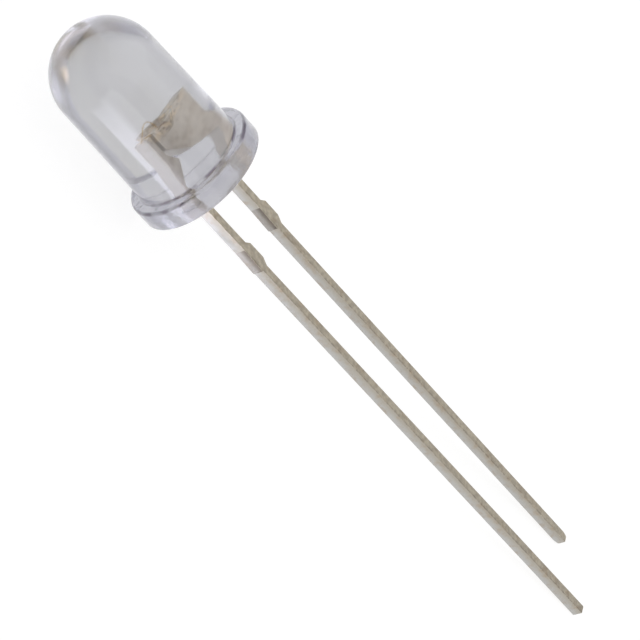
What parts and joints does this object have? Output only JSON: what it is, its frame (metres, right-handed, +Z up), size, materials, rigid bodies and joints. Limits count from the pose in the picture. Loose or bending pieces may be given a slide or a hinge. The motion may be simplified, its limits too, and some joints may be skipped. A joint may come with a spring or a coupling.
{
  "type": "through hole led",
  "caption": "Clear domed through-hole LED with a round flange, a stamped lead frame with a reflector cup, and straight leads of unequal length.",
  "frame": {"origin": "middle of the bounding box on the surface that the LED lies on", "axes": "+X along the leads, away from the dome; +Z up from the surface; the cathode, the short lead, is on the +Y side"},
  "size_m": [0.038, 0.006, 0.0061],
  "materials": {
    "clear_epoxy": "moulded, clear",
    "plated_steel": "stamped, tinned",
    "chip": "sawn crystal",
    "silver_epoxy": "cured paste",
    "gold_wire": "drawn"
  },
  "bodies": {
    "root": {"lens": "clear_epoxy", "cathode_lead": "plated_steel", "anode_lead": "plated_steel", "die": "chip", "die_attach": "silver_epoxy", "bond_wire": "gold_wire"}
  },
  "joints": []
}
